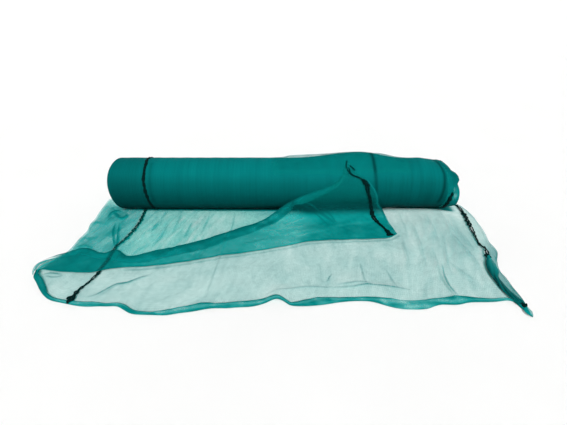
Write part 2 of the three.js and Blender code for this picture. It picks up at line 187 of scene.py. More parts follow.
# Widths of the hems, and how dense the net looks, along x.
HEM_WIDTH = [
    (-622, 12), (-600, 15), (-576, 14), (-559, 9), (-515, 8), (-440, 13), (-406, 8), (-362, 11), (-296, 8),
    (-262, 15), (-187, 20), (-155, 13), (-72, 17), (-17, 12), (1, 8), (15, 8), (49, 19), (83, 24), (130, 13),
    (166, 10), (200, 12), (241, 24), (324, 24), (360, 17), (398, 23), (428, 15), (452, 12), (487, 9),
    (515, 8), (547, 3),
]
HEM_COVER = [
    (-622, 1.03), (-600, 1.00), (-560, 0.92), (-510, 0.68), (-400, 0.66), (-387, 0.83), (-290, 0.83),
    (-277, 0.58), (-204, 0.53), (-192, 0.70), (-82, 0.73), (-9, 0.80), (40, 0.78), (216, 0.78), (231, 0.53),
    (309, 0.50), (314, 0.63), (358, 0.68), (382, 0.78), (468, 0.78), (480, 0.68), (547, 0.88),
]
FLAP_HEM_WIDTH = [
    (-616, 8), (-594, 20), (-531, 31), (-473, 26), (-443, 39), (-404, 25), (-356, 41), (-285, 40),
    (-193, 41), (-97, 34), (-26, 31), (5, 27), (27, 14), (46, 23), (80, 23), (107, 20), (146, 13), (170, 7),
]
FLAP_HEM_COVER = [
    (-400, 0.82), (-100, 0.88), (0, 0.78), (28, 0.64), (60, 0.52), (110, 0.42), (140, 0.28), (172, 0.0),
]
FLAP_COVER = [
    (-600, 0.88), (-430, 0.84), (-380, 0.74), (-300, 0.72), (-200, 0.69), (-125, 0.69), (-60, 0.58),
    (-10, 0.53), (30, 0.53), (50, 0.64), (80, 0.77), (110, 0.88), (260, 0.90),
]
UPPER_COVER = [(-560, 0.30), (-450, 0.27), (-420, 0.05), (-330, 0.0), (-240, -0.15), (0, -0.12)]

# x of the flap's left tip by y, and the right margin's density by distance in front of the axis.
FLAP_TIP = [(-305, -607), (-289, -597), (-273, -592), (-251, -578), (-219, -565)]
MARGIN_COVER = [
    (40, 0.30), (80, 0.28), (170, 0.30), (205, 0.45), (230, 0.58), (265, 0.55), (300, 0.50), (380, 0.64),
]

# How far in front of the roll's axis the net is dense and painted dark with shade where the roll meets it,
# along x.
CONTACT = [
    (-480, 34), (-450, 36), (-330, 39), (-130, 42), (250, 42), (300, 24), (360, 27), (420, 32), (484, 39),
    (521, 45),
]

# Ridges of the floor layers: start, end, height and width. Puffs of the flap: place, height and width.
RIDGES = [
    ((-522, -50), (-482, -90), 3, 34), ((-372, -177), (-345, -105), 3, 34),
    ((-152, -80), (-178, -385), 2.5, 34), ((-618, -285), (-600, -300), 4, 36),
    ((-12, -372), (-12, -392), 8, 24), ((149, -335), (272, -357), 5, 22), ((352, -205), (302, -300), 5, 24),
    ((424, -70), (390, -284), 7, 26), ((482, -60), (470, -245), 6, 24), ((396, -298), (404, -372), 6, 24),
]
FLAP_PUFFS = [(20, -45, 7, 30), (120, -70, 4, 40), (205, -20, 5, 34)]

# Height at the roll's foot, and painted light of the flap and its hem, darker where they hang up the roll,
# by distance in front of the axis.
FOOT = [(20, 0), (28, 1.5), (42, 5.5), (52, 5.0), (70, 2.0), (88, 0)]
FLAP_PAINTED_LIGHT = [(0, 0.25), (20, 0.22), (45, 0.13), (60, 0.11)]
FLAP_HEM_PAINTED_LIGHT = [(0, 0.40), (40, 0.50), (95, 0.64), (130, 0.66)]

# Tables by share of a piece's run.
TURN_IN_COVER = [(0, 0.6), (0.12, 0.85), (0.45, 0.9), (0.75, 0.85), (1, 0.75)]
TURN_IN_PAINTED_LIGHT = [(0, 0.75), (0.35, 0.66), (0.55, 0.24), (1, 0.25)]
SLEEVE_RADIUS = [(0, 78), (0.3, 77.5), (0.6, 74), (0.85, 66), (1, 58)]
SLEEVE_COVER = [(0, 0.0), (0.1, 0.5), (0.35, 1.12)]

# Thickness of the tapes' strands by distance along them, where 1 is plain.
MIDDLE_GIRTH = [(190, 1.15), (215, 0.95), (300, 0.85), (320, 0.7), (345, 1.3), (360, 2.0), (385, 2.1)]
EDGE_GIRTH = [
    (0, 0.9), (20, 1.0), (50, 1.4), (105, 1.3), (135, 0.9), (205, 0.8), (235, 1.5), (250, 0.8), (345, 0.8),
    (390, 1.4), (415, 2.2),
]
FLAP_GIRTH = [
    (0, 1.9), (18, 1.7), (33, 0.9), (53, 1.0), (66, 1.4), (98, 1.4), (138, 1.1), (176, 1.1), (190, 1.6),
    (204, 1.5), (218, 0.4), (258, 0.3),
]
HOOK_GIRTH = [(0, 0.28), (20, 0.4)]
LOOP_GIRTH = [(0, 0.3), (12, 0.45), (30, 0.3)]
RING_GIRTH = [(0, 1.1)]
FRONT_GIRTH = [(0, 2.0), (40, 2.4), (62, 1.7), (74, 1.0)]
BACK_GIRTH = [(0, 1.2)]

# Creases of the floor layers: line, width, height and how much denser the net looks along it; below 0, a
# painted highlight.
CREASES = [
    ([(-523, -90), (-521, -61), (-510, -50), (-493, -55)], 5, 2.5, 0.42),
    ([(-519, -58), (-500, -73), (-483, -90), (-472, -78), (-474, -66)], 6, 2.5, 0.42),
    ([(-522, -126), (-517, -102), (-511, -78)], 4, 2.0, 0.20),
    ([(-491, -112), (-485, -144), (-474, -174), (-455, -211)], 3.2, 2.0, 0.40),
    ([(-478, -116), (-469, -152), (-459, -182), (-452, -211)], 3.2, 2.0, 0.40),
    ([(-469, -97), (-475, -112), (-480, -121)], 3.5, 1.5, 0.22),
    ([(-562, -114), (-548, -105), (-525, -112)], 4, 1.5, 0.25),
    ([(-566, -184), (-555, -174), (-531, -178), (-514, -165)], 4, 1.5, 0.20),
    ([(-558, -215), (-540, -207), (-506, -219)], 5, 1.5, 0.18),
    ([(-375, -152), (-370, -130), (-365, -107)], 4, 2.5, 0.24),
    ([(-365, -85), (-361, -68), (-360, -50)], 4, 1.5, 0.14),
    ([(-277, -174), (-273, -139), (-270, -100)], 4, 1.5, 0.18),
    ([(-398, -170), (-386, -144), (-364, -121)], 4, 2.0, 0.18),
    ([(-397, -238), (-387, -221), (-370, -207)], 4, 1.5, 0.16),
    ([(-358, -211), (-344, -174), (-335, -121)], 4.5, 1.8, 0.15),
    ([(-316, -152), (-311, -102), (-309, -58)], 4.5, 1.5, 0.12),
    ([(-404, -195), (-388, -157), (-387, -102)], 4, 1.8, -0.10),
    ([(-335, -207), (-312, -165), (-298, -130)], 5, 1.6, -0.10),
    ([(-235, -161), (-227, -112), (-224, -58)], 4.5, 1.4, 0.12),
    ([(-148, -53), (-148, -121), (-157, -190), (-166, -254), (-174, -317), (-179, -388)], 4, 1.5, 0.10),
    ([(-455, -379), (-437, -372), (-420, -355), (-402, -340), (-379, -337), (-353, -320), (-331, -312)],
     4, 2.0, 0.28),
    ([(-421, -370), (-404, -346), (-367, -332), (-329, -306)], 4, 1.8, 0.14),
    ([(-593, -312), (-576, -307), (-550, -309)], 3.5, 1.5, 0.30),
    ([(-586, -317), (-565, -319), (-546, -312)], 3.5, 1.5, 0.24),
    ([(-50, -378), (-8, -361), (32, -352), (68, -348), (111, -351), (147, -352)], 3.5, 1.5, 0.14),
    ([(130, -352), (174, -349), (203, -344), (236, -349), (270, -355), (300, -358)], 3.5, 2.0, 0.28),
    ([(130, -343), (165, -339), (188, -336), (215, -338)], 3.5, 1.5, 0.18),
    ([(106, -332), (113, -319), (121, -307)], 3, 1.5, 0.22),
    ([(198, -270), (198, -293), (198, -317), (200, -343)], 3.5, 1.5, 0.18),
    ([(258, -290), (264, -320), (266, -335), (270, -352)], 3.5, 1.5, 0.16),
    ([(399, -285), (393, -324), (395, -352), (404, -382)], 3.5, 3.0, 0.45),
    ([(448, -166), (435, -216), (422, -265), (412, -314)], 4.5, 2.5, 0.11),
    ([(396, -220), (393, -261), (387, -293)], 4, 2.0, 0.12),
    ([(334, -162), (326, -220), (321, -286)], 5, 2.0, 0.09),
    ([(380, -98), (373, -200), (361, -286)], 5, 2.2, 0.09),
    ([(430, -64), (430, -144), (423, -212)], 5, 2.2, 0.10),
    ([(352, -49), (353, -113), (351, -162)], 5, 1.8, 0.08),
    ([(474, -49), (480, -117), (485, -179)], 5, 2.0, 0.09),
    ([(467, -144), (480, -191), (493, -239), (500, -283)], 6, 2.2, 0.12),
    ([(497, -126), (507, -179), (512, -220)], 5, 2.0, 0.11),
    ([(428, -265), (447, -300), (469, -330)], 5, 2.0, 0.09),
]
CREASE_RISES = [(line, width, rise) for line, width, rise, _ in CREASES]
CREASE_COVERS = [(line, width, cover) for line, width, _, cover in CREASES]

# Creases of the flap: line, width and how much denser the net looks along it; below 0, a painted highlight.
FLAP_CREASES = [
    ([(65, -41), (83, -51), (113, -78), (151, -106)], 3, 0.30),
    ([(60, -52), (80, -66), (108, -92), (132, -122)], 3, 0.22),
    ([(182, 76), (180, 63), (186, 45), (194, 38), (211, 32)], 3.5, 0.50),
    ([(190, 66), (198, 60), (206, 51)], 3, 0.40),
    ([(191, 77), (212, 60), (234, 33), (248, 11), (264, -13), (274, -51), (292, -74), (303, -106)], 4, 0.25),
    ([(-20, -178), (40, -150), (110, -140)], 8, -0.10),
    ([(-120, -205), (-60, -185), (10, -170)], 7, 0.10),
    ([(-330, -262), (-250, -240), (-160, -215)], 6, -0.10),
    ([(-22, -111), (7, -89), (38, -65)], 5, -0.14),
    ([(1, -125), (40, -101), (76, -87)], 4.5, -0.16),
    ([(-53, -147), (-10, -138), (48, -125), (83, -115)], 5, -0.12),
    ([(35, -169), (75, -156), (127, -143)], 5, -0.16),
    ([(149, -125), (194, -115), (248, -106)], 7, -0.12),
    ([(103, -77), (131, -96), (153, -115)], 3.5, 0.20),
    ([(117, -62), (141, -87), (156, -111)], 3.5, 0.20),
]


# Curves and soft steps.


def ease(x, low, high):
    """A smooth step from 0 at low to 1 at high."""
    t = np.clip((np.asarray(x, float) - low) / (high - low), 0, 1)
    return t * t * (3 - 2 * t)


def window(x, start, full, wane, end):
    """A smooth step up from start to full, and down again from wane to end."""
    return ease(x, start, full) * ease(x, end, wane)


def bell(distance, spread):
    """1 in the middle and 0 from the spread outwards."""
    return np.cos(np.clip(np.abs(distance) / spread, 0, 1) * math.pi / 2) ** 2


def fall(distance, width, power=2):
    """1 at no distance, and softly less over a width."""
    return np.exp(-((distance / width) ** power))


def blob(x, y, middle, size):
    """A soft spot: 1 in its middle, with a size in x and in y."""
    return np.exp(-(((x - middle[0]) / size[0]) ** 2 + ((y - middle[1]) / size[1]) ** 2))


def table(rows, x):
    return np.interp(x, [row[0] for row in rows], [row[1] for row in rows])


def shares(count):
    return np.linspace(0, 1, count)


def unit(vectors):
    return vectors / np.linalg.norm(vectors, axis=1)[:, None]


def heading(points):
    """Directions along a row of points."""
    return unit(np.gradient(points, axis=0))


def left_of(points):
    """Directions to the left of a row of points, seen from above."""
    ahead = heading(points)
    return np.stack([-ahead[:, 1], ahead[:, 0]], -1)


def dense(rows, steps=16):
    """Many points on a smooth curve through the rows."""
    p = np.asarray(rows, float)
    p = np.vstack([2 * p[0] - p[1], p, 2 * p[-1] - p[-2]])
    out = []
    for a, b, c, d in zip(p, p[1:], p[2:], p[3:]):
        t1 = np.linalg.norm(b - a) ** 0.5
        t2 = t1 + np.linalg.norm(c - b) ** 0.5
        t3 = t2 + np.linalg.norm(d - c) ** 0.5
        t = np.linspace(t1, t2, steps, endpoint=False)[:, None]
        ab = a + (b - a) * t / t1
        bc = b + (c - b) * (t - t1) / (t2 - t1)
        cd = c + (d - c) * (t - t2) / (t3 - t2)
        abc = ab + (bc - ab) * t / t2
        bcd = bc + (cd - bc) * (t - t1) / (t3 - t1)
        out.append(abc + (bcd - abc) * (t - t1) / (t2 - t1))
    return np.vstack(out + [p[-2:-1]])


def along(rows, places):
    """Points at shares of a smooth curve's length, and the length."""
    p = dense(rows)
    length = np.append(0, np.cumsum(np.linalg.norm(np.diff(p, axis=0), axis=1)))
    at = np.asarray(places) * length[-1]
    return np.stack([np.interp(at, length, column) for column in p.T], -1), length[-1]


def patch(front, rear, left, right, u, v):
    """Points between four edges: u runs left to right and v front to rear."""
    f, r = along(front, u)[0][None], along(rear, u)[0][None]
    a, b = along(left, v)[0][:, None], along(right, v)[0][:, None]
    u, v = u[None, :, None], v[:, None, None]
    near = f[:, :1] * (1 - u) + f[:, -1:] * u
    far = r[:, :1] * (1 - u) + r[:, -1:] * u
    return f * (1 - v) + r * v + a * (1 - u) + b * u - near * (1 - v) - far * v


def ripple(x, y, wave, seed, lean=None, spread=0.5):
    """Soft random waves around 0: about one wave length, and along one lean if given."""
    rng = np.random.default_rng(seed)
    total = 0
    for _ in range(7):
        turn = rng.uniform(0, math.pi) if lean is None else lean + rng.normal(0, spread)
        size = wave * rng.uniform(0.6, 1.7)
        phase = (x * math.cos(turn) + y * math.sin(turn)) * 2 * math.pi / size
        total = total + np.sin(phase + rng.uniform(0, 6.3))
    return total / 4.0


def near_line(x, y, line, steps=6):
    """Distance from a smooth line, and the share of its length at the nearest point."""
    p = dense(line, steps)
    best, share = np.full(np.shape(x), np.inf), np.zeros(np.shape(x))
    for i, (a, b) in enumerate(zip(p, p[1:])):
        d = b - a
        t = np.clip(((x - a[0]) * d[0] + (y - a[1]) * d[1]) / (d @ d), 0, 1)
        gap = np.hypot(x - a[0] - t * d[0], y - a[1] - t * d[1])
        closer = gap < best
        best, share = np.where(closer, gap, best), np.where(closer, (i + t) / (len(p) - 1), share)
    return best, share


def beside(x, y, line, width, power=2):
    """1 on a smooth line, and softly less over a width beside it."""
    return fall(near_line(x, y, line)[0], width, power)


def creased(x, y, creases, narrow=1.0):
    """A list of creases spread over the net: each has a line, a width and how much it adds."""
    total = np.zeros(np.shape(x))
    for line, width, amount in creases:
        low, high = np.min(line, 0) - 3 * width, np.max(line, 0) + 3 * width
        near = (x > low[0]) & (x < high[0]) & (y > low[1]) & (y < high[1])
        gap, share = near_line(x[near], y[near], line)
        taper = np.sin(np.clip(share, 0.02, 0.98) * math.pi) ** 0.5
        total[near] += amount * fall(gap, narrow * width) * taper
    return total


def crease_cover(x, y, creases):
    """Extra density along creases, where the net is gathered; where less than 0, a painted highlight."""
    return 1.35 * creased(x, y, creases, 0.6)


# The ways that pieces lie: on the floor, on the roll, and from the floor up the roll.


def ground(x, y):
    """Height of the crumpled net on the floor."""
    height = np.zeros(np.shape(x))
    for start, end, rise, width in RIDGES:
        height += rise * fall(near_line(x, y, [start, end], 1)[0], width)
    right = ease(x, 300, 380) * window(-y, 40, 110, 300, 400)
    left = ease(-x, 140, 260) * window(-y, 40, 90, 240, 300)
    height += 1.1 * (ripple(x, y, 70, 3) + 1) * ease(-y, 40, 110)
    height += 1.2 * (ripple(x, y, 34, 5, -0.2, 0.3) + 1) * right
    height += 0.9 * (ripple(x, y, 28, 6, -0.45, 0.3) + 1) * left
    height += creased(x, y, CREASE_RISES) * ease(-y, 36, 60)
    return height + table(FOOT, -y) * window(x, LIFTED["start"], LIFTED["end"], 460, 500)


def on_floor(x, y, height):
    return np.stack([x, y, ground(x, y) + height], -1)


def loose(x, angle, inset=0):
    """How far the outer turn stands off the plain roll, or sinks into it where less than 0."""
    degrees = np.degrees(angle)
    rise = window(x, SLACK["start"] + inset, SLACK["peak"], SLACK["peak"], SLACK["end"] - 0.15 * inset)
    slack = rise * bell(degrees - SLACK["angle"], SLACK["spread"])
    sink = ease(x, DROOP["start"], DROOP["end"]) * bell(degrees - DROOP["angle"], DROOP["spread"])
    from_lift = (degrees - LIFTED["angle"] + 180) % 360 - 180
    lifted = ease(x, LIFTED["start"], LIFTED["end"]) * bell(from_lift, LIFTED["spread"])
    return SLACK["height"] * slack - DROOP["depth"] * sink - LIFTED["height"] * lifted


def rim_drop(distance, rim):
    inset = np.clip(rim - distance, 0, rim)
    return rim - np.sqrt(rim**2 - inset**2)


def roll_radius(x, angle):
    radius = ROLL_RADIUS - rim_drop(x + HALF_LENGTH, LEFT_RIM) - rim_drop(HALF_LENGTH - x, RIGHT_RIM)
    return radius + loose(x, angle) * (radius / ROLL_RADIUS) ** 2


def on_roll(x, angle, radius):
    return np.stack([x, -radius * np.cos(angle), AXIS_HEIGHT + radius * np.sin(angle)], -1)


def on_roll_skin(x, s, height):
    angle = s / ROLL_RADIUS
    return on_roll(x, angle, roll_radius(x, angle) + height)


def on_flap(x, s, height):
    """The flap's way: along the floor, round a bend, up to the roll and over its front."""
    x, s = np.broadcast_arrays(np.asarray(x, float), np.asarray(s, float))
    for puff_x, puff_s, rise, width in FLAP_PUFFS:
        height = height + rise * blob(x, s, (puff_x, puff_s), (width, width))
    radius = ROLL_RADIUS + FLAP_CLEARANCE
    across, upright = math.sin(FLAP_LEAN), math.cos(FLAP_LEAN)
    touch_y, touch_z = -radius * upright, AXIS_HEIGHT + radius * across
    rise = (touch_z - FLAP_LAYER) / upright
    bend = math.pi / 2 - FLAP_LEAN
    offset = FLAP_BEND * math.tan(bend / 2)
    bend_start = touch_y - rise * across - offset
    bend_end = bend_start + FLAP_BEND * bend
    roll_start = bend_end + rise - offset
    under = ground(x, s) * ease(-s, 72, -bend_start)
    flat = np.stack([x, s, FLAP_LAYER + height + under], -1)
    turn, inner = (s - bend_start) / FLAP_BEND, FLAP_BEND - height
    bent_z = FLAP_LAYER + FLAP_BEND - inner * np.cos(turn) + under
    bent = np.stack([x, bend_start + inner * np.sin(turn), bent_z], -1)
    below = roll_start - s
    hung_y = touch_y - below * across - height * upright
    hung = np.stack([x, hung_y, touch_z - below * upright + height * across], -1)
    angle = FLAP_LEAN + (s - roll_start) / radius
    wound = on_roll(x, angle, roll_radius(x, angle) + FLAP_CLEARANCE + height)
    pick = [(s < bend_start)[..., None], (s < bend_end)[..., None], (s < roll_start)[..., None]]
    return np.select(pick, [flat, bent, hung], wound)


# Camera and light, with places in metres.

SENSOR_MM = 36
PHOTO_PIXELS = 567
FOCAL_PIXELS = 355
CAMERA_PLACE = (0, -0.9227, 0.6537)
CAMERA_TILT = math.radians(53.2)
SKY_STRENGTH = 0.05

camera = bpy.data.objects.new("camera", bpy.data.cameras.new("camera"))
scene.collection.objects.link(camera)
camera.data.sensor_fit = "HORIZONTAL"
camera.data.sensor_width = SENSOR_MM
camera.data.lens = SENSOR_MM * FOCAL_PIXELS / PHOTO_PIXELS
camera.location = CAMERA_PLACE
camera.rotation_euler = (CAMERA_TILT, 0, 0)
scene.camera = camera
scene.view_settings.view_transform = "Standard"


def sun(name, toward, strength, degrees):
    """A sun seen in one direction, as wide as its angle in degrees."""
    data = bpy.data.lights.new(name, "SUN")
    data.energy = strength
    data.angle = math.radians(degrees)
    light = bpy.data.objects.new(name, data)
    scene.collection.objects.link(light)
    x, y, z = toward
    light.rotation_euler = (math.atan2(math.hypot(x, y), z), 0, math.atan2(x, -y))


sun("light_front", toward=(0.10, -0.64, 0.76), strength=3.28, degrees=24)
sun("light_top", toward=(0.0, 0.05, 1.0), strength=0.35, degrees=110)
world = bpy.data.worlds.new("studio")
world.use_nodes = True
sky = world.node_tree.nodes["Background"].inputs
sky["Color"].default_value = (1, 1, 1, 1)
sky["Strength"].default_value = SKY_STRENGTH
scene.world = world


# Materials: stitch sizes in metres, and colours by density and tone, with painted light and shade.

NET_STITCH = (0.0042, 0.0056)
TAPE_STITCH = (0.0022, 0.0048)
NET_TONES = [(0.25, (0.002, 0.74, 0.645)), (0.5, (0.001, 0.50, 0.49)), (0.8, (0.001, 0.31, 0.295)),
             (1.0, (0.001, 0.20, 0.192))]
# The net's colour in full painted shade.
NET_PAINTED_SHADE = (0.001, 0.04, 0.04, 1)
WOUND_TONES = [(0.2, (0.001, 0.140, 0.139)), (0.5, (0.001, 0.180, 0.178)), (0.8, (0.002, 0.222, 0.219))]
# How the roll's tone and painted shade scale its colour: darker below 0.5, lighter above.
WOUND_PAINTED_SHADES = [(0.0, (0.03, 0.06, 0.06)), (0.5, (1, 1, 1)), (1.0, (6.0, 1.55, 1.5))]
TAPE_TONES = [(0.2, (0.0004, 0.005, 0.005)), (0.55, (0.0006, 0.013, 0.0125)), (0.85, (0.001, 0.034, 0.032))]
FLOOR_TONES = [(0.3, (0.915, 0.915, 0.91)), (0.7, (0.93, 0.93, 0.925))]
CLOTH = {"Specular IOR Level": 0.005, "Sheen Weight": 0.05, "Sheen Tint": (0.0, 0.5, 0.47, 1)}


class Nodes:
    """A short way to write a material's nodes."""

    def __init__(self, name):
        self.material = bpy.data.materials.new(name)
        self.material.use_nodes = True
        self.tree = self.material.node_tree
        self.shader = self.tree.nodes["Principled BSDF"]

    def add(self, kind, inputs=None, **settings):
        node = self.tree.nodes.new(kind)
        for key, value in settings.items():
            setattr(node, key, value)
        self.fill(node, inputs or {})
        return node

    def fill(self, node, inputs):
        """Plain values for a node's inputs, or links from other nodes."""
        for key, value in inputs.items():
            if isinstance(value, (int, float, tuple)):
                node.inputs[key].default_value = value
            else:
                self.tree.links.new(value, node.inputs[key])

    def math(self, operation, *values):
        return self.add("ShaderNodeMath", dict(enumerate(values)), operation=operation).outputs[0]

    def plus(self, base, value, share):
        return self.math("ADD", base, self.math("MULTIPLY", value, share))

    def clamp(self, value):
        return self.add("ShaderNodeClamp", {0: value}).outputs[0]

    def attribute(self, name):
        return self.add("ShaderNodeAttribute", attribute_name=name).outputs["Fac"]

    def cloth(self):
        return self.add("ShaderNodeUVMap", uv_map="UVMap").outputs["UV"]

    def noise(self, coords, scale, stretch=(1, 1, 1), detail=3.0):
        vector = self.add("ShaderNodeMapping", {"Vector": coords, "Scale": stretch}).outputs["Vector"]
        inputs = {"Vector": vector, "Scale": scale, "Detail": detail}
        return self.add("ShaderNodeTexNoise", inputs).outputs["Fac"]

    def ramp(self, value, stops):
        node = self.add("ShaderNodeValToRGB", {"Fac": value})
        elements = node.color_ramp.elements
        while len(elements) < len(stops):
            elements.new(0.5)
        for element, (place, colour) in zip(elements, stops):
            element.position = place
            element.color = (*colour, 1)
        return node.outputs["Color"]

    def blend(self, kind, share, first, second):
        inputs = {"Factor": share, 6: first, 7: second}
        return self.add("ShaderNodeMix", inputs, data_type="RGBA", blend_type=kind).outputs[2]

    def bump(self, height, strength, distance):
        inputs = {"Strength": strength, "Distance": distance, "Height": height}
        self.fill(self.shader, {"Normal": self.add("ShaderNodeBump", inputs).outputs["Normal"]})

    def weave(self, coords, stitch):
        """Knitted chains: 0 to 1, from rows of stitches across and along the net."""
        split = self.add("ShaderNodeSeparateXYZ", {0: coords})
        waves = []
        for axis, size in zip("XY", stitch):
            waves.append(self.math("SINE", self.math("MULTIPLY", split.outputs[axis], 2 * math.pi / size)))
        both = self.plus(self.math("MULTIPLY", waves[0], 0.32), waves[1], 0.18)
        return self.math("ADD", both, 0.5)


def net_material():
    n = Nodes("net_sheer")
    uv = n.cloth()
    weave = n.weave(uv, NET_STITCH)
    grain = n.noise(uv, 240.0, detail=2.0)
    mottle = n.noise(uv, 85.0)
    cloud = n.noise(uv, 14.0)
    streak = n.noise(uv, 60.0, (1.0, 0.12, 1), 2.0)
    bends = n.math("ABSOLUTE", n.math("SUBTRACT", n.noise(uv, 11.0, (1.0, 0.7, 1), 2.0), 0.5))
    crinkle = n.math("MULTIPLY", n.clamp(n.math("SUBTRACT", 1.0, n.math("MULTIPLY", bends, 26.0))), cloud)
    cover = n.plus(n.attribute("coverage"), crinkle, 0.09)
    for texture, share in ((weave, 0.10), (grain, 0.16), (mottle, 0.20), (cloud, 0.12), (streak, 0.14)):
        cover = n.plus(cover, n.math("SUBTRACT", texture, 0.5), share)
    alpha = n.clamp(cover)
    # Colour from deep green in painted shade at 0 to full colour in painted light at 1.
    colour = n.blend("MIX", n.attribute("painted_light"), NET_PAINTED_SHADE, n.ramp(alpha, NET_TONES))
    n.fill(n.shader, {"Alpha": alpha, "Base Color": colour, "Roughness": n.plus(0.5, cloud, 0.2), **CLOTH})
    n.bump(n.math("ADD", weave, streak), 0.25, 0.0006)
    return n.material


def roll_material():
    n = Nodes("net_wound")
    uv = n.cloth()
    weave = n.weave(uv, NET_STITCH)
    lines = n.noise(uv, 160.0, (1.0, 0.02, 1))
    bands = n.noise(uv, 18.0, (1.0, 0.15, 1), 2.0)
    cloud = n.noise(uv, 26.0, (1.0, 0.6, 1))
    tone = n.plus(n.math("MULTIPLY", lines, 0.45), bands, 0.40)
    tone = n.plus(tone, cloud, 0.15)
    tone = n.plus(tone, n.math("SUBTRACT", weave, 0.5), 0.16)
    # The roll's colour scaled by its tone and painted shade.
    tone_and_painted_shade = n.ramp(n.attribute("tone_and_painted_shade"), WOUND_PAINTED_SHADES)
    colour = n.blend("MULTIPLY", 1.0, n.ramp(tone, WOUND_TONES), tone_and_painted_shade)
    n.fill(n.shader, {"Base Color": colour, "Roughness": n.plus(0.5, bands, 0.2), **CLOTH})
    n.bump(n.math("ADD", weave, lines), 0.35, 0.0008)
    return n.material


def tape_material():
    n = Nodes("tape_braid")
    uv = n.cloth()
    fuzz = n.noise(uv, 320.0)
    tone = n.plus(n.math("MULTIPLY", n.weave(uv, TAPE_STITCH), 0.6), fuzz, 0.4)
    n.fill(n.shader, {"Base Color": n.ramp(tone, TAPE_TONES), "Roughness": n.plus(0.65, fuzz, 0.2),
                      "Specular IOR Level": 0.02, "Sheen Weight": 0.005})
    n.bump(tone, 0.6, 0.0008)
    return n.material


def floor_material():
    n = Nodes("floor_pale")
    soft = n.noise(n.add("ShaderNodeTexCoord").outputs["Object"], 3.0)
    n.fill(n.shader, {"Base Color": n.ramp(soft, FLOOR_TONES), "Roughness": 0.8, "Specular IOR Level": 0.2})
    return n.material


NET, WOUND, TAPE, PALE = net_material(), roll_material(), tape_material(), floor_material()


# Floor and wall, in metres.

FLOOR_DROP = 0.0008
FLOOR_HALF = 20
WALL_RADIUS = 16
WALL_SIDES = 96
WALL_HEIGHTS = (-0.1, 9.0)


def smooth_piece(name, points, faces, material):
    mesh = bpy.data.meshes.new(name)
    mesh.from_pydata(points, [], faces)
    mesh.polygons.foreach_set("use_smooth", [True] * len(mesh.polygons))
    mesh.materials.append(material)
    piece = bpy.data.objects.new(name, mesh)
    scene.collection.objects.link(piece)
    return piece


corner_signs = ((-1, -1), (1, -1), (1, 1), (-1, 1))
floor_points = [(x * FLOOR_HALF, y * FLOOR_HALF, -FLOOR_DROP) for x, y in corner_signs]
smooth_piece("floor", floor_points, [(0, 1, 2, 3)], PALE)
wall_points = []
for z in WALL_HEIGHTS:
    for k in range(WALL_SIDES):
        turn = 2 * math.pi * k / WALL_SIDES
        wall_points.append((WALL_RADIUS * math.cos(turn), WALL_RADIUS * math.sin(turn), z))
wall_faces = []
for k in range(WALL_SIDES):
    after = (k + 1) % WALL_SIDES
    wall_faces.append((k, k + WALL_SIDES, after + WALL_SIDES, after))
smooth_piece("wall", wall_points, wall_faces, PALE)


# Meshes.


def grid_mesh(name, points, uv, material, node, fields, keep=None, wrap=False, caps=()):
    """A smooth piece from rows and columns of points in millimetres, with its own cloth coordinates."""
    rows, columns = points.shape[:2]
    wide = columns if wrap else columns - 1
    i, j = np.meshgrid(np.arange(rows - 1), np.arange(wide), indexing="ij")
    corner = [(i, j), (i, j + 1), (i + 1, j + 1), (i + 1, j)]
    chosen = np.ones(i.shape, bool) if keep is None else keep
    faces = np.stack([a * columns + b % columns for a, b in corner], -1)[chosen]
    spots = np.stack([uv[a, b] for a, b in corner], -2)[chosen].reshape(-1, 2)
    polygons = faces.tolist()
    for row, forward in caps:
        ring = [row * columns + k for k in range(columns)]
        polygons.append(ring if forward else ring[::-1])
        spots = np.vstack([spots, uv[row, :columns]])
    piece = smooth_piece(name, (points.reshape(-1, 3) * MM).tolist(), polygons, material)
    layer = piece.data.uv_layers.new(name="UVMap")
    layer.data.foreach_set("uv", (spots * MM).astype(np.float32).ravel())
    for key, values in fields.items():
        field = piece.data.attributes.new(key, "FLOAT", "POINT")
        spread = np.broadcast_to(values, (rows, columns))
        field.data.foreach_set("value", spread.astype(np.float32).ravel())
    piece.data.update()
    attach(piece, "root")
    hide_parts(node)
    return piece


def cloth_uv(points):
    """Cloth coordinates of a sheet, by length along its rows and columns."""
    across = np.pad(np.cumsum(np.linalg.norm(np.diff(points, axis=1), axis=2), 1), ((0, 0), (1, 0)))
    down = np.pad(np.cumsum(np.linalg.norm(np.diff(points, axis=0), axis=2), 0), ((1, 0), (0, 0)))
    middle = across[:, across.shape[1] // 2][:, None]
    return np.stack([across - middle, down], -1)


def net_piece(name, points, cover, painted_light, node="loose_end", keep=None):
    """Sheer net: how densely it covers what lies behind it, and its painted light, from shade at 0 to full
    colour at 1.
    """
    fields = {"coverage": cover, "painted_light": painted_light}
    return grid_mesh(name, points, cloth_uv(points), NET, node, fields, keep)


def eyelets(rows, first, last=None):
    """Places of a tape's eyelets: distance along it, point and direction."""
    length = along(rows, [0.0])[1]
    found = []
    for at in np.arange(first, min(last or length, length - EYELET_LENGTH / 2), EYELET_PITCH):
        point, ahead = along(rows, [at / length, (at + 1) / length])[0]
        found.append((at, point, (ahead - point) / np.linalg.norm(ahead - point)))
    return found


def in_eyelet(plan, places):
    """Cells of a sheet's grid that are open in one of the eyelets."""
    middles = (plan[1:, 1:] + plan[:-1, 1:] + plan[1:, :-1] + plan[:-1, :-1]) / 4
    inside = np.zeros(middles.shape[:2], bool)
    for _, point, ahead in places:
        dx, dy = np.moveaxis(middles - point, -1, 0)
        run, side = dx * ahead[0] + dy * ahead[1], dx * ahead[1] - dy * ahead[0]
        inside |= np.abs(side) < EYELET_WIDTH / 2 * (1 - (2 * run / EYELET_LENGTH) ** 2)
    return inside


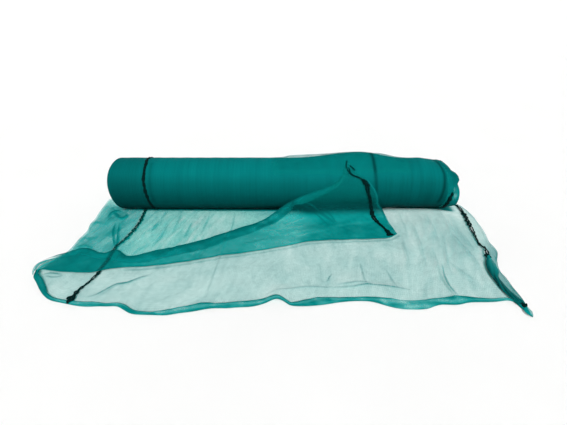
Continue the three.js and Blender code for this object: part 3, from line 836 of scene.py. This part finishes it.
MIDDLE_EYELETS = eyelets(MIDDLE_PATH, 88, 345)
EDGE_EYELETS = eyelets(EDGE_PATH, 22.4, 349)
FLAP_EYELETS = eyelets(FLAP_PATH, 79)


# The wound roll.

ROLL_SIDES = 180
ROLL_ROWS = 316
LEFT_STEPS = 14
RIGHT_STEPS = 15
END_STEP = 0.85


def core_hollow(radius):
    return CORE_DEPTH * math.exp(-((radius / CORE_RADIUS) ** 2))


def roll_profile():
    """Rows from the middle of the left end to that of the right: x, radius, and -1 to 1 by end."""
    rows = []
    for radius in np.arange(1.0, ROLL_RADIUS - LEFT_RIM, END_STEP):
        rows.append((-HALF_LENGTH + core_hollow(radius), radius, -1))
    for turn in np.linspace(0, math.pi / 2, LEFT_STEPS, endpoint=False):
        x = -HALF_LENGTH + LEFT_RIM * (1 - math.cos(turn))
        rows.append((x, ROLL_RADIUS - LEFT_RIM + LEFT_RIM * math.sin(turn), -1 + 0.7 * turn))
    for x in np.linspace(LEFT_RIM - HALF_LENGTH, HALF_LENGTH - RIGHT_RIM, ROLL_ROWS):
        rows.append((x, ROLL_RADIUS, 0))
    for turn in np.linspace(math.pi / 2, 0, RIGHT_STEPS + 1)[1:]:
        x = HALF_LENGTH - RIGHT_RIM * (1 - math.cos(turn))
        rows.append((x, ROLL_RADIUS - RIGHT_RIM + RIGHT_RIM * math.sin(turn), 1 - 0.64 * turn))
    for radius in np.arange(ROLL_RADIUS - RIGHT_RIM, 1.0, -END_STEP)[1:]:
        rows.append((HALF_LENGTH - core_hollow(radius), radius, 1))
    return np.array(rows).T[..., None]


def wound_roll():
    x, r, end = roll_profile()
    around = np.arange(ROLL_SIDES) / ROLL_SIDES * 2 * math.pi - math.pi / 2
    angle = np.broadcast_to(around, (len(x), ROLL_SIDES))
    degrees, arc = np.degrees(angle), angle * ROLL_RADIUS
    side, end_share = np.sign(end), np.abs(end)
    body_share = 1 - end_share
    turns = r / TURN_PITCH + 0.35 * ripple(r * np.cos(angle), r * np.sin(angle), 60, 21)
    turns = turns - side * angle / (2 * math.pi)
    ridge = np.abs(np.sin(turns % 1.0 * math.pi)) ** 0.7
    step = 0.77 * np.sin(np.floor(turns) * 2.3)
    inward = end_share * (1.6 * (1 - ridge) + 0.8 + step) * ease(r, 0.5, 4)
    bulge = 7 * bell(degrees - 40, 85) * r / ROLL_RADIUS + 4 * (1 - r / ROLL_RADIUS)
    place = x - side * inward - bulge * ease(-x, 405, 480)
    wave = 0.35 * ripple(x, arc, 46, 8, 0.15, 0.3) - 0.35
    radius = r + loose(x, angle, 55) * (r / ROLL_RADIUS) ** 2 + body_share * wave
    points = on_roll(place, angle, radius)
    points[..., 2] = np.maximum(points[..., 2], 0.0)
    # Painted shade: the body darker underneath and behind by angle, times its tone along x.
    body_tone_and_painted_shade = table(ROLL_PAINTED_SHADE, degrees) * table(ROLL_TONE, x)
    # Painted shade on the end faces: darker in the grooves between turns.
    tone_and_painted_shade = (0.5 - 0.32 * end_share * (1 - ridge)) * (0.85 + (body_tone_and_painted_shade - 0.85) * body_share)
    # Painted light on the underside towards the right end.
    tone_and_painted_shade *= 1 + 0.9 * ease(x, 290, 350) * bell(degrees + 62, 40) * body_share
    blotch = 0.11 * ripple(x, arc, 70, 9, 0.1, 0.5) + 0.05 * ripple(x, arc, 18, 10, 0.0, 0.12)
    tone_and_painted_shade *= 1 + blotch * ease(x, 270, 330) * body_share
    for line, width, dark in ROLL_MARKS:
        first, last = line[0][0], line[-1][0]
        inside = window(degrees, first - 8, first + 4, last - 4, last + 8)
        tone_and_painted_shade *= 1 - dark * fall(x - table(line, degrees), width) * inside
    v = np.append(around, around[0] + 2 * math.pi) * ROLL_RADIUS
    uv = np.stack(np.broadcast_arrays(x + side * (ROLL_RADIUS - r), v[None]), -1)
    grid_mesh("net_roll", points[:, ::-1], uv[:, ::-1], WOUND, "roll", {"tone_and_painted_shade": tone_and_painted_shade[:, ::-1]},
              wrap=True, caps=[(0, False), (len(x) - 1, True)])


# The drawn-out end, with counts of points in its grids.

LOWER_COLUMNS, LOWER_ROWS = 521, 191
UPPER_COLUMNS, LAID_ROWS, FLAP_ROWS = 461, 91, 121
HEM_COLUMNS, HEM_ROWS = 9, 620


def near_roll(x, y, low, high):
    """1 where a floor layer is dense and painted with shade against the roll, 0 in front of it."""
    return ease(x, -490, -465) * ease(-y - table(CONTACT, x), high, low)


def middle_shadow(x, y, width):
    """Where the middle tape shows dark through the net over it."""
    return beside(x, y, MIDDLE_PATH, width, 4)


def lower_sheet():
    u, v = shares(LOWER_COLUMNS), shares(LOWER_ROWS)
    plan = patch(LOWER_FRONT, LOWER_REAR, LEFT_FOLD, LOWER_RIGHT, u, v)
    x, y = np.moveaxis(plan, -1, 0)
    points = on_floor(x, y, LOWER_MID * (1 - 0.3 * ease(y, -40, -30)))
    cover = PLAIN_COVER + 0.035 * ripple(x, y, 120, 31) + crease_cover(x, y, CREASE_COVERS)
    cover += 0.10 * blob(x, y, (490, -190), (42, 60))
    cover += 0.03 * ripple(x, y, 30, 32, -0.2, 0.3) * ease(x, 300, 380) * ease(-y, 60, 110)
    # A painted shadow of the flap's fold on this layer: a denser line just in front of the turn.
    in_front = ease(x, -420, -380) * (y < table(TURN_LINE, x))
    cover += 0.16 * fall(near_line(x, y, TURN_LINE)[0] - 7, 3) * in_front
    # Painted light: the net made thinner just in front of the roll, against the roll's shadow there.
    cover -= 0.055 * ease(-y, 110, 60)
    tape_x = table([(-path_y, path_x) for path_x, path_y in EDGE_PATH], -y)
    cover += (table(MARGIN_COVER, -y) - cover) * ease(x - tape_x, 2, 8)
    cover += 0.42 * beside(x, y, LOWER_RIGHT, 2.4)
    cover += 0.45 * ease(x, 528, 542) * ease(-y, 380, 405)
    # Painted shade where the roll meets the net, which is also dense there; the shade fades out right of x
    # 280 to 330.
    contact = near_roll(x, y, -3, 3) * ease(x, 536, 512)
    contact *= 1 - ease(x, 498, 512) * ease(y, -24, -8)
    cover += (FULL_COVER - cover) * contact
    painted_light = 0.64 + contact * (0.36 * ease(x, 280, 330) - 0.4)
    return net_piece("net_lower", points, cover, painted_light, keep=~in_eyelet(plan, MIDDLE_EYELETS + EDGE_EYELETS))


def laid_layer(u):
    """The upper layer from the roll to its turn: points, cover and glow."""
    plan = patch(TURN_LINE, UPPER_REAR, LEFT_FOLD, UPPER_RIGHT, u, shares(LAID_ROWS)[::-1])
    x, y = np.moveaxis(plan, -1, 0)
    cover = 0.285 + 0.04 * ripple(x, y, 110, 41) + 1.1 * crease_cover(x, y, CREASE_COVERS)
    cover += table(UPPER_COVER, x) + 0.20 * blob(x, y, (-503, -66), (26, 26))
    crumple = 0.08 * ripple(x, y, 27, 44, -0.45, 0.3) + 0.06 * ripple(x, y, 46, 45, -0.6, 0.4)
    crumple += 0.06 * ripple(x, y, 13, 48, -0.45, 0.10)
    cover += crumple * ease(-x, 120, 240) + 0.09 * ripple(x, y, 60, 47) * ease(-x, 430, 470)
    fold = near_line(x, y, LEFT_FOLD)[0]
    cover += (0.22 * fall(fold, 2.2) - 0.10 * fall(fold, 14)) * ease(-x, 535, 545)
    cover += 0.25 * beside(x, y, UPPER_RIGHT, 2.5)
    cover += (0.09 + 0.11 * ease(x, -190, -120)) * ease(-y, 95, 55) * ease(x, -430, -330)
    cover += 0.09 * ease(x, -170, -110) - 0.22 * ease(y, -40, 5) - 0.18 * ease(-x, 578, 590)
    shadow = middle_shadow(x, y, 5.5)
    cover -= 0.22 * shadow
    # Painted shade where the roll meets the layer, which is also dense there.
    contact = near_roll(x, y, -4, 5)
    cover += (FULL_COVER - cover) * contact
    painted_light = (1 - 0.10 * ease(-x, 430, 470) - 0.8 * shadow) * (1 - 0.9 * contact)
    return on_floor(x, y, UPPER_MID), cover, painted_light


def flap_layer(u):
    """The flap from the turn back up the roll: plan, cover and glow."""
    plan = patch(TURN_LINE, FLAP_END, FLAP_LEFT, FLAP_RIGHT, u, shares(FLAP_ROWS))
    x, s = np.moveaxis(plan, -1, 0)
    on_ground = ease(-s, 60, 88)
    extra = crease_cover(x, s, FLAP_CREASES)
    cover = PLAIN_COVER + (table(FLAP_COVER, x) - PLAIN_COVER) * ease(-s, 42, 60) + extra
    cover += 0.05 * ripple(x, s, 60, 43) + 0.06 * ripple(x, s, 22, 46, 1.1, 0.5)
    tip = ease(x - table(FLAP_TIP, s), -6, 3)
    cover = 0.14 + (cover - 0.14 + 0.20 * beside(x, s, TURN_LINE, 3)) * tip
    # Painted light: the flap in painted shade where it hangs up the roll, brighter on the floor, and darker
    # at its far left.
    painted_light = table(FLAP_PAINTED_LIGHT, -s)
    painted_light += (0.94 - 0.22 * ease(-x, 400, 440) - painted_light) * on_ground
    # Creases on the flap painted lighter up the roll and darker on the floor.
    painted_light += extra * np.where(extra > 0, 0.8 - 1.8 * on_ground, 0)
    # A painted shadow under the ribbon, as darker and denser net.
    under = blob(x, s + 0.10 * (x - 70), (70, -66), (34, 11))
    painted_light *= (1 - 0.75 * under) * (1 - 0.7 * middle_shadow(x, s, 6.0))
    return plan, cover + 0.30 * under, painted_light


def upper_sheet():
    u = shares(UPPER_COLUMNS)
    laid, laid_cover, laid_painted_light = laid_layer(u)
    plan, flap_cover, flap_painted_light = flap_layer(u)
    flap = on_flap(plan[..., 0], plan[..., 1], FLAP_MID)
    turn = (laid[-1:] + flap[:1]) / 2 - np.array([0, TURN_BULGE, 0])
    points = np.concatenate([laid, turn, flap])
    turn_cover = np.where(plan[:1, :, 0] > -590, 0.95, 0.3)
    cover = np.concatenate([laid_cover, turn_cover, flap_cover])
    painted_light = np.concatenate([laid_painted_light, np.full((1, len(u)), 0.85), flap_painted_light])
    keep = np.ones((len(points) - 1, len(u) - 1), bool)
    keep[len(laid) + 1:] = ~in_eyelet(plan, FLAP_EYELETS)
    return net_piece("net_upper", points, cover, painted_light, keep=keep)


def sideways(middle, side, reach):
    """Points beside a row of points: each moved along its side by every reach in its row."""
    return middle[:, :1] + side[:, :1] * reach, middle[:, 1:] + side[:, 1:] * reach


def strip(name, rows, inward, width, place, lift, cover, painted_light, last=1.0, inner=1.0):
    """A doubled band inwards from an edge, up to its last share, puffed, and denser and painted darker with
    shade along both sides.
    """
    edge = along(rows, last * shares(HEM_ROWS))[0]
    q = shares(HEM_COLUMNS)[None]
    x, y = sideways(edge, left_of(edge) * inward, width(edge[:, :1]) * q)
    height = lift * ease(q, 0, 0.15) + HEM_PUFF * np.sin(q * math.pi)
    outer_side, inner_side = fall(q, 0.14), inner * fall(1 - q, 0.14)
    plain = cover(edge[:, :1])
    total = plain * (1 - (1 - inner) * ease(q, 0.78, 1))
    total = total + 0.14 * np.sin(q * 8 + 2.2 * ripple(edge[:, :1], 0, 150, 53))
    total += np.minimum(1, plain / 0.4) * (0.26 * outer_side + 0.20 * inner_side)
    total += 0.12 * ripple(x, y, 24, 51, 1.2, 0.5) + 0.08 * ripple(x, y, 60, 52)
    # The net is painted darker with shade along both sides.
    return net_piece(name, place(x, y, height), total, painted_light(x, y) - 0.18 * outer_side - 0.12 * inner_side)


def front_hem():
    def width(x):
        return table(HEM_WIDTH, x)

    def cover(x):
        return table(HEM_COVER, x)

    def painted_light(x, y):
        return 0.95 - 0.15 * ease(-x, 540, 580)

    return strip("hem_lower", LOWER_FRONT, 1, width, on_floor, 2.0, cover, painted_light)


def flap_hem():
    def width(x):
        return table(FLAP_HEM_WIDTH, x) + 1.5 * np.sin(x / 23.0)

    def cover(x):
        return table(FLAP_HEM_COVER, x) * ease(x, -612, -580)

    def painted_light(x, s):
        # Painted light: darker up the roll, where the middle tape shows through, and at the ribbon's twist.
        return table(FLAP_HEM_PAINTED_LIGHT, -s) * (1 - 0.6 * middle_shadow(x, s, 6.0)) - 0.25 * fall(x - 27, 11)

    return strip("hem_flap", FLAP_END, -1, width, on_flap, 2.6, cover, painted_light, last=0.87, inner=0.5)


def turned_in():
    """The lower layer's right margin where it is turned in."""
    t, q = shares(90)[:, None], shares(11)[None]
    inner, outer = along(TURN_IN_INNER, t[:, 0])[0], along(TURN_IN_OUTER, t[:, 0])[0]
    x, y = sideways(inner, outer - inner, q)
    points = on_floor(x, y, UPPER_MID + 1.5 * np.sin(q * math.pi) - 3.2 * ease(q, 0.85, 1))
    streaks = ripple(180 * t, 14 * q, 7, 71, 1.45, 0.08)
    inner_side = fall(q, 0.3) * ease(-t, -0.75, -0.5)
    cover = table(TURN_IN_COVER, t) + 0.08 * streaks + 0.15 * inner_side
    # Painted light along the band, with streaks and a darker inner side.
    painted_light = table(TURN_IN_PAINTED_LIGHT, t) * (1 - 0.85 * inner_side) + 0.22 * streaks
    return net_piece("net_turned_in", points, cover, np.clip(painted_light, 0, 1))


def wisp(name, rows, width, lift=8.5):
    """A thin gathered edge of the net."""
    t, q = shares(60)[:, None], np.linspace(-1, 1, 7)[None]
    middle = along(rows, t[:, 0])[0]
    x, y = sideways(middle, left_of(middle), width / 2 * (0.35 + 0.65 * np.sin(t * math.pi)) * q)
    points = on_floor(x, y, lift + 1.2 * np.cos(q * math.pi / 2))
    return net_piece(name, points, 0.66 + 0.25 * q**2, 0.85)


def end_sleeve():
    """The outer turn's slack margin, which stands past the roll's right end and curls in."""
    first, last, curl, stand_off = -86, 266, 0.85, 0.6
    degrees, t = np.linspace(first, last, 213)[None], shares(33)[:, None]
    reach = table(SLEEVE_END, degrees) + 1.5 * np.sin(degrees / 9)
    start = np.minimum(reach - SLEEVE_DEPTH, SLEEVE_START)
    bulge = np.sin(np.clip(t / curl, 0, 1) * math.pi / 2)
    x = start + (reach - start) * np.where(t < curl, bulge, 1 - 0.06 * (t - curl) / (1 - curl))
    angle = np.radians(degrees) * np.ones_like(t)
    on_end = np.minimum(x, HALF_LENGTH)
    skin = roll_radius(on_end, angle)
    radius = np.maximum(table(SLEEVE_RADIUS, t), np.where(t < 0.5, skin, 0)) + stand_off
    radius = radius + loose(on_end, angle)
    radius = np.maximum(radius, np.where(t < 0.8, skin + stand_off, 0))
    points = on_roll(x, angle, radius + 0.8 * ripple(degrees, 60 * t, 26, 61, 0.2, 0.3) * t)
    points[..., 2] = np.maximum(points[..., 2], 0.3)
    ends = window(degrees, first, first + 20, last - 20, last)
    # Painted light: the curl darker overall, with a lighter patch at its front where the net is also
    # thinner.
    light = bell(degrees - 3, 34) * ease(t, 0.20, 0.36)
    cover = table(SLEEVE_COVER, t) - 0.19 * light + 0.03 * ripple(degrees, 60 * t, 22, 62, 0.1, 0.4)
    return net_piece("net_sleeve", points, cover * (0.3 + 0.7 * ends), 0.40 + 0.1 * t + 0.5 * light, "roll")


def outer_turn():
    """The roll's loose outer turn where it stands off: sheer, with painted light where it stands clear near
    the top.
    """
    left, right, front, back = -44, 372, 48, 168
    x, degrees = np.meshgrid(np.linspace(left, right, 161), np.linspace(front, back, 61))
    angle = np.radians(degrees)
    clear = window(x, -12, 22, 30, 150) + 0.6 * window(x, 265, 290, 300, 350)
    stand_off = 0.5 + 4.5 * clear * bell(degrees - 118, 45)
    points = on_roll(x, angle, roll_radius(x, angle) + stand_off)
    sides = window(x, left, -10, 345, right) * window(degrees, front, 66, 122, 160)
    line, width, _ = ROLL_MARKS[0]
    mark = fall(x - table(line, degrees), width) * (degrees < 112)
    cover = (0.45 + 0.06 * ripple(x, degrees, 40, 65) + 0.25 * mark) * sides
    # Painted light where the turn stands clear near the top, darker over the tape's mark.
    painted_light = (0.36 + 0.55 * clear * bell(degrees - 114, 22)) * (1 - 0.85 * mark)
    return net_piece("net_outer_turn", points, cover, painted_light, "roll")


# Eyelet tapes.


def tape(name, node, rows, places, place, base, girth, opening=3.6, knobs=0.28, braid=0.6):
    """Two braided strands that twist round each other and bow round each eyelet."""
    length = along(rows, [0.0])[1]
    count = int(length / TAPE_STEP)
    t = shares(count)
    run = t * length
    centre = along(rows, t)[0]
    side = -left_of(centre)
    open_by = np.zeros(count)
    for at, _, _ in places:
        open_by = np.maximum(open_by, bell(run - at, EYELET_LENGTH * 0.66))
    closed = 1 - open_by
    thick = table(girth, run) * (1 + 0.10 * np.sin(run / 7.3 + 1) + 0.08 * np.sin(run / 3.1))
    sway = 0.7 * np.sin(run / 13.0 + 0.5) + 0.4 * np.sin(run / 5.7)
    twist = run * 2 * math.pi / TWIST_LENGTH
    turn = np.arange(STRAND_SIDES) / STRAND_SIDES * 2 * math.pi
    uv = np.stack(np.broadcast_arrays(np.arange(STRAND_SIDES + 1)[None] * SIDE_WIDTH, run[:, None]), -1)
    apart = (STRAND_APART + braid * np.cos(twist)) * closed
    for hand, label in ((-1, "left"), (1, "right")):
        offset = hand * (apart * thick + opening * open_by) + sway * closed
        x, s = (centre + side * offset[:, None]).T
        lift = base + 0.9 + 0.5 * hand * np.sin(twist) * closed
        path = place(x, s, lift)
        up = unit(place(x, s, lift + 0.5) - path)
        lateral = np.cross(heading(path), up)
        stitch = thick * (1 + knobs * np.sin(run * 2 * math.pi / STITCH_LENGTH + hand)) * (1 - 0.3 * open_by)
        wide = STRAND_HALF_WIDTH * stitch[:, None] * np.cos(turn)
        tall = STRAND_HALF_HEIGHT * np.sqrt(stitch)[:, None] * np.sin(turn)
        points = path[:, None] + lateral[:, None] * wide[..., None] + up[:, None] * tall[..., None]
        grid_mesh(f"{name}_{label}", points, uv, TAPE, node, {}, wrap=True,
                  caps=[(0, True), (count - 1, False)])


def roll_tape(name, rows, girth, opening, base=-0.5):
    """A tape on the roll: rows of angle in degrees and place along it."""
    path = [(x, math.radians(angle) * ROLL_RADIUS) for angle, x in rows]
    tape(name, name, path, eyelets(path, 60), on_roll_skin, base, girth, opening, 0.10)


wound_roll()
lower = lower_sheet()
upper = upper_sheet()
lower_hem = front_hem()
upper_hem = flap_hem()
margin = turned_in()
sleeve = end_sleeve()
slack = outer_turn()
tape("tape_flap_hook", "tape_flap", HOOK, [], on_flap, FLAP_TAPE_BASE, HOOK_GIRTH)
tape("tape_flap_loop", "tape_flap", LOOP, [], on_flap, FLAP_TAPE_BASE, LOOP_GIRTH)
tail = wisp("net_tail", TAIL, 17, 3.0)
wisps = [wisp(f"net_wisp_{i + 1}", rows, 7) for i, rows in enumerate(WISPS)]
tape("tape_middle_floor", "tape_middle_floor", MIDDLE_PATH, MIDDLE_EYELETS, on_floor, FLOOR_TAPE_BASE,
     MIDDLE_GIRTH, 2.9, braid=1.5)
tape("tape_edge_floor", "tape_edge_floor", EDGE_PATH, EDGE_EYELETS, on_floor, FLOOR_TAPE_BASE, EDGE_GIRTH,
     braid=1.3)
tape("tape_flap", "tape_flap", FLAP_PATH, FLAP_EYELETS, on_flap, FLAP_TAPE_BASE, FLAP_GIRTH)
roll_tape("tape_middle_roll", RING, RING_GIRTH, 1.9)
roll_tape("tape_edge_front", FRONT_BIT, FRONT_GIRTH, 2.4, 4.0)
roll_tape("tape_edge_back", BACK_BIT, BACK_GIRTH, 2.4)
